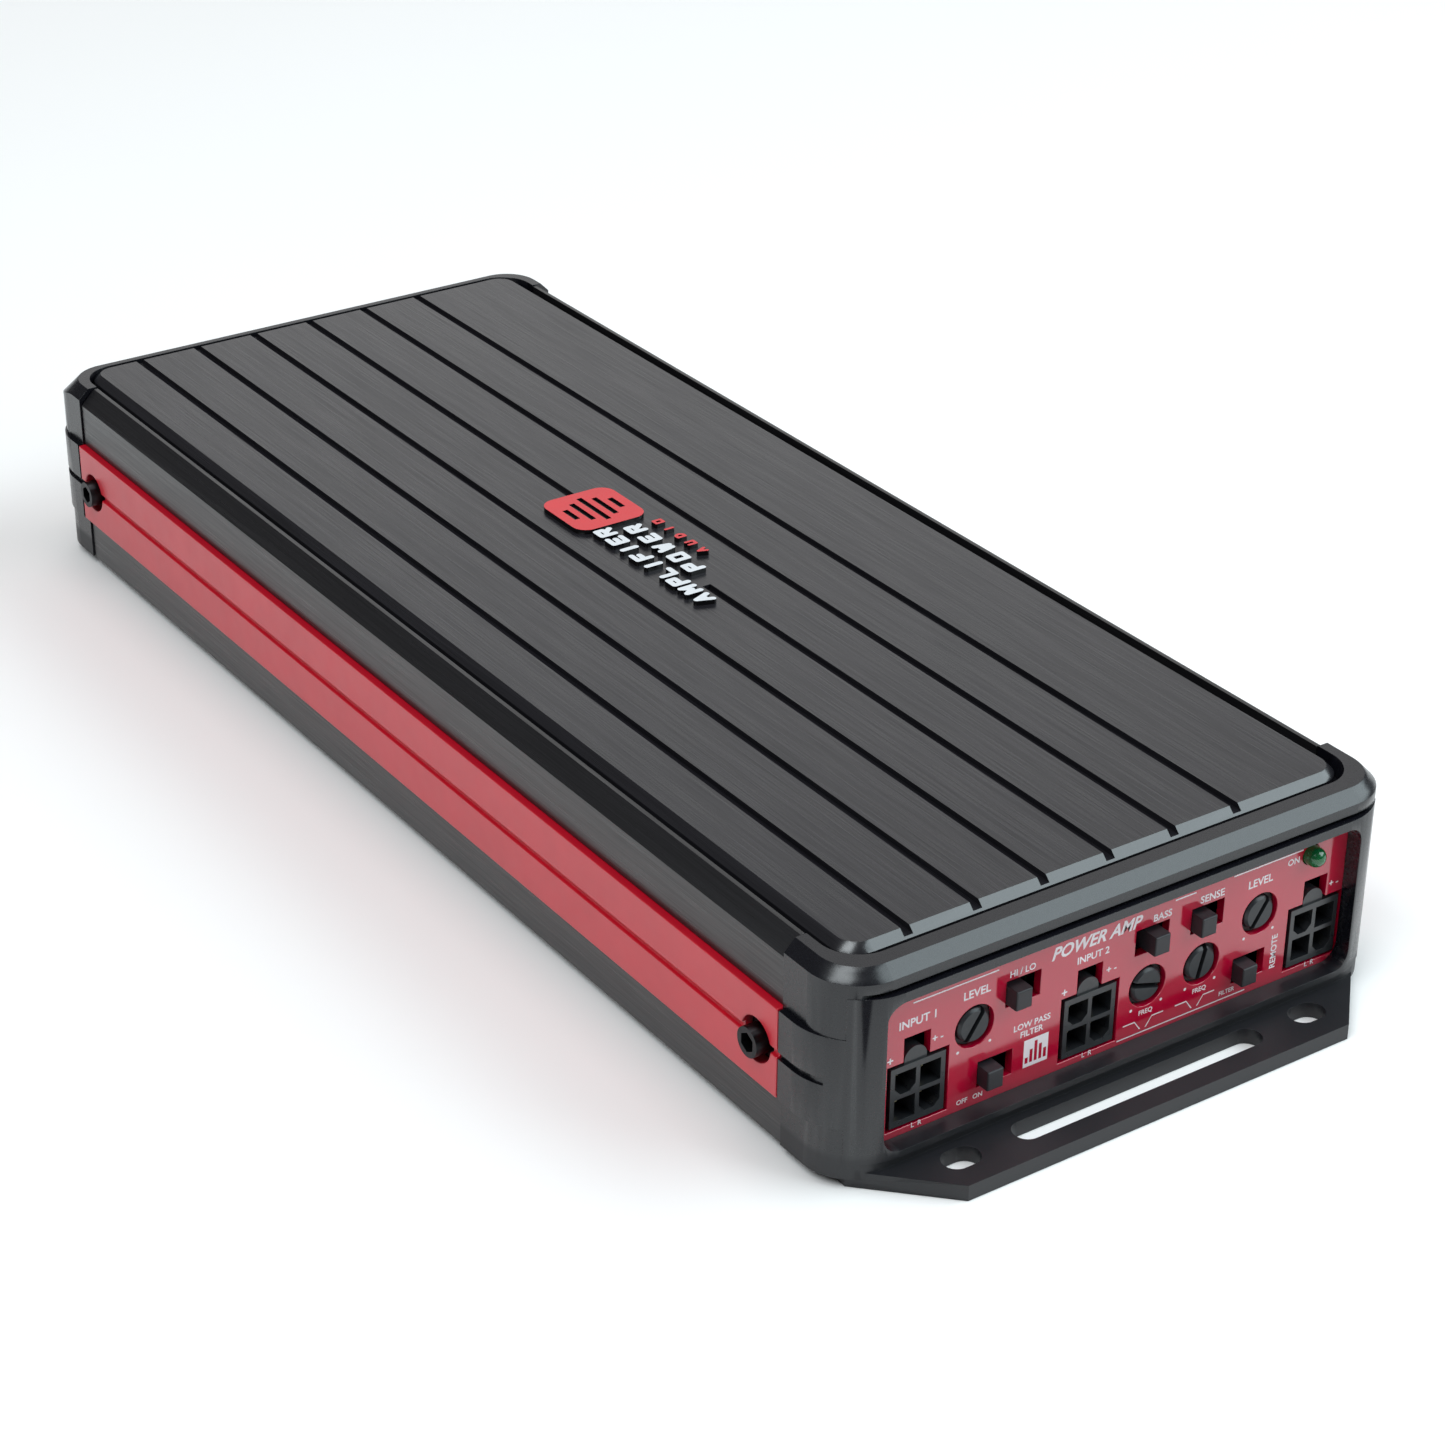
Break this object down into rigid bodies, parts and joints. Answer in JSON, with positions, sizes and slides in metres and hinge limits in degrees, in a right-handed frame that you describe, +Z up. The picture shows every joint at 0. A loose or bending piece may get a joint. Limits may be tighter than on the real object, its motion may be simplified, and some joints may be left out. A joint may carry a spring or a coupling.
{
  "type": "car amplifier",
  "caption": "Slim car amplifier: grooved aluminium shell, red side strips, moulded end caps with slotted feet, a red panel of sockets, trimmers and slide switches, and a rear terminal panel.",
  "frame": {"origin": "centre of the bounding box's underside, on the surface that the feet stand on", "axes": "+Z up, X across the width, Y along the length, with the control panel facing -Y"},
  "size_m": [0.1032, 0.2638, 0.0353],
  "materials": {
    "shell_aluminium": "black anodised, brushed along the length",
    "plate_aluminium": "charcoal anodised, hairline brushed along the length",
    "zinc_steel": "zinc plated",
    "red_trim": "satin red",
    "black_plastic": "moulded, fine texture",
    "red_panel": "glossy red with white printed marks",
    "black_steel": "black powder coat",
    "black_oxide": "black oxide",
    "circuit_board": "green solder mask",
    "connector_plastic": "moulded nylon",
    "contact_metal": "tin and gold plated",
    "control_plastic": "moulded",
    "shaft_plastic": "moulded",
    "lever_plastic": "moulded",
    "green_lens": "translucent green",
    "fuse_plastic": "clear amber",
    "ferrite_coat": "epoxy coated",
    "copper_wire": "enamelled copper",
    "inductor_plastic": "moulded",
    "capacitor_sleeve": "printed sleeve",
    "package_plastic": "moulded epoxy",
    "pad_silicone": "soft silicone",
    "bare_aluminium": "mill finish",
    "badge_red": "glossy red",
    "badge_white": "glossy white"
  },
  "bodies": {
    "chassis": {"heatsink": "shell_aluminium", "top_plate": "plate_aluminium", "plate_screws": "zinc_steel", "trim_left": "red_trim", "trim_right": "red_trim", "front_cap": "black_plastic", "rear_cap": "black_plastic", "front_panel": "red_panel", "rear_panel": "red_panel", "bottom_plate": "black_steel", "bottom_screws": "zinc_steel", "side_screws": "black_oxide", "main_board": "circuit_board", "board_screws": "zinc_steel", "control_board": "circuit_board", "output_board": "circuit_board", "board_links": "connector_plastic", "input_socket_1": "connector_plastic", "input_socket_2": "connector_plastic", "input_socket_3": "connector_plastic", "input_pins": "contact_metal", "gain_trimmer_1": "control_plastic", "gain_trimmer_2": "control_plastic", "filter_trimmer_1": "control_plastic", "filter_trimmer_2": "control_plastic", "input_switch": "control_plastic", "low_filter_switch": "control_plastic", "bass_switch": "control_plastic", "sense_switch": "control_plastic", "high_filter_switch": "control_plastic", "power_led": "green_lens", "power_terminal": "connector_plastic", "terminal_cages": "zinc_steel", "terminal_screws": "zinc_steel", "speaker_socket": "connector_plastic", "speaker_pins": "contact_metal", "fuse_holder": "connector_plastic", "fuses": "fuse_plastic", "toroid_core": "ferrite_coat", "toroid_winding": "copper_wire", "output_inductors": "inductor_plastic", "reservoir_capacitors": "capacitor_sleeve", "power_transistors": "package_plastic", "thermal_pads": "pad_silicone", "clamp_bars": "bare_aluminium", "clamp_screws": "zinc_steel", "driver_chips": "package_plastic", "badge_emblem": "badge_red", "badge_letters": "badge_white"},
    "gain_shaft_1": {"gain_shaft_1": "shaft_plastic"},
    "gain_shaft_2": {"gain_shaft_2": "shaft_plastic"},
    "filter_shaft_1": {"filter_shaft_1": "shaft_plastic"},
    "filter_shaft_2": {"filter_shaft_2": "shaft_plastic"},
    "input_slider": {"input_slider": "lever_plastic"},
    "low_filter_slider": {"low_filter_slider": "lever_plastic"},
    "bass_slider": {"bass_slider": "lever_plastic"},
    "sense_slider": {"sense_slider": "lever_plastic"},
    "high_filter_slider": {"high_filter_slider": "lever_plastic"}
  },
  "joints": [
    {"name": "gain_turn_1", "type": "hinge", "parent": "chassis", "child": "gain_shaft_1", "pos_m": [-0.0253, -0.1165, 0.018], "axis": [0, 1, 0], "range_deg": [-174, 106]},
    {"name": "gain_turn_2", "type": "hinge", "parent": "chassis", "child": "gain_shaft_2", "pos_m": [0.0262, -0.1165, 0.018], "axis": [0, 1, 0], "range_deg": [-174, 106]},
    {"name": "filter_turn_1", "type": "hinge", "parent": "chassis", "child": "filter_shaft_1", "pos_m": [0.0056, -0.1165, 0.0133], "axis": [0, 1, 0], "range_deg": [-67, 213]},
    {"name": "filter_turn_2", "type": "hinge", "parent": "chassis", "child": "filter_shaft_2", "pos_m": [0.0156, -0.1165, 0.0133], "axis": [0, 1, 0], "range_deg": [-154, 126]},
    {"name": "input_slide", "type": "slide", "parent": "chassis", "child": "input_slider", "axis": [1, 0, 0], "range_m": [0, 0.003]},
    {"name": "low_filter_slide", "type": "slide", "parent": "chassis", "child": "low_filter_slider", "axis": [1, 0, 0], "range_m": [0, 0.003]},
    {"name": "bass_slide", "type": "slide", "parent": "chassis", "child": "bass_slider", "axis": [1, 0, 0], "range_m": [-0.0015, 0.0015]},
    {"name": "sense_slide", "type": "slide", "parent": "chassis", "child": "sense_slider", "axis": [1, 0, 0], "range_m": [0, 0.003]},
    {"name": "high_filter_slide", "type": "slide", "parent": "chassis", "child": "high_filter_slider", "axis": [1, 0, 0], "range_m": [0, 0.003]}
  ]
}
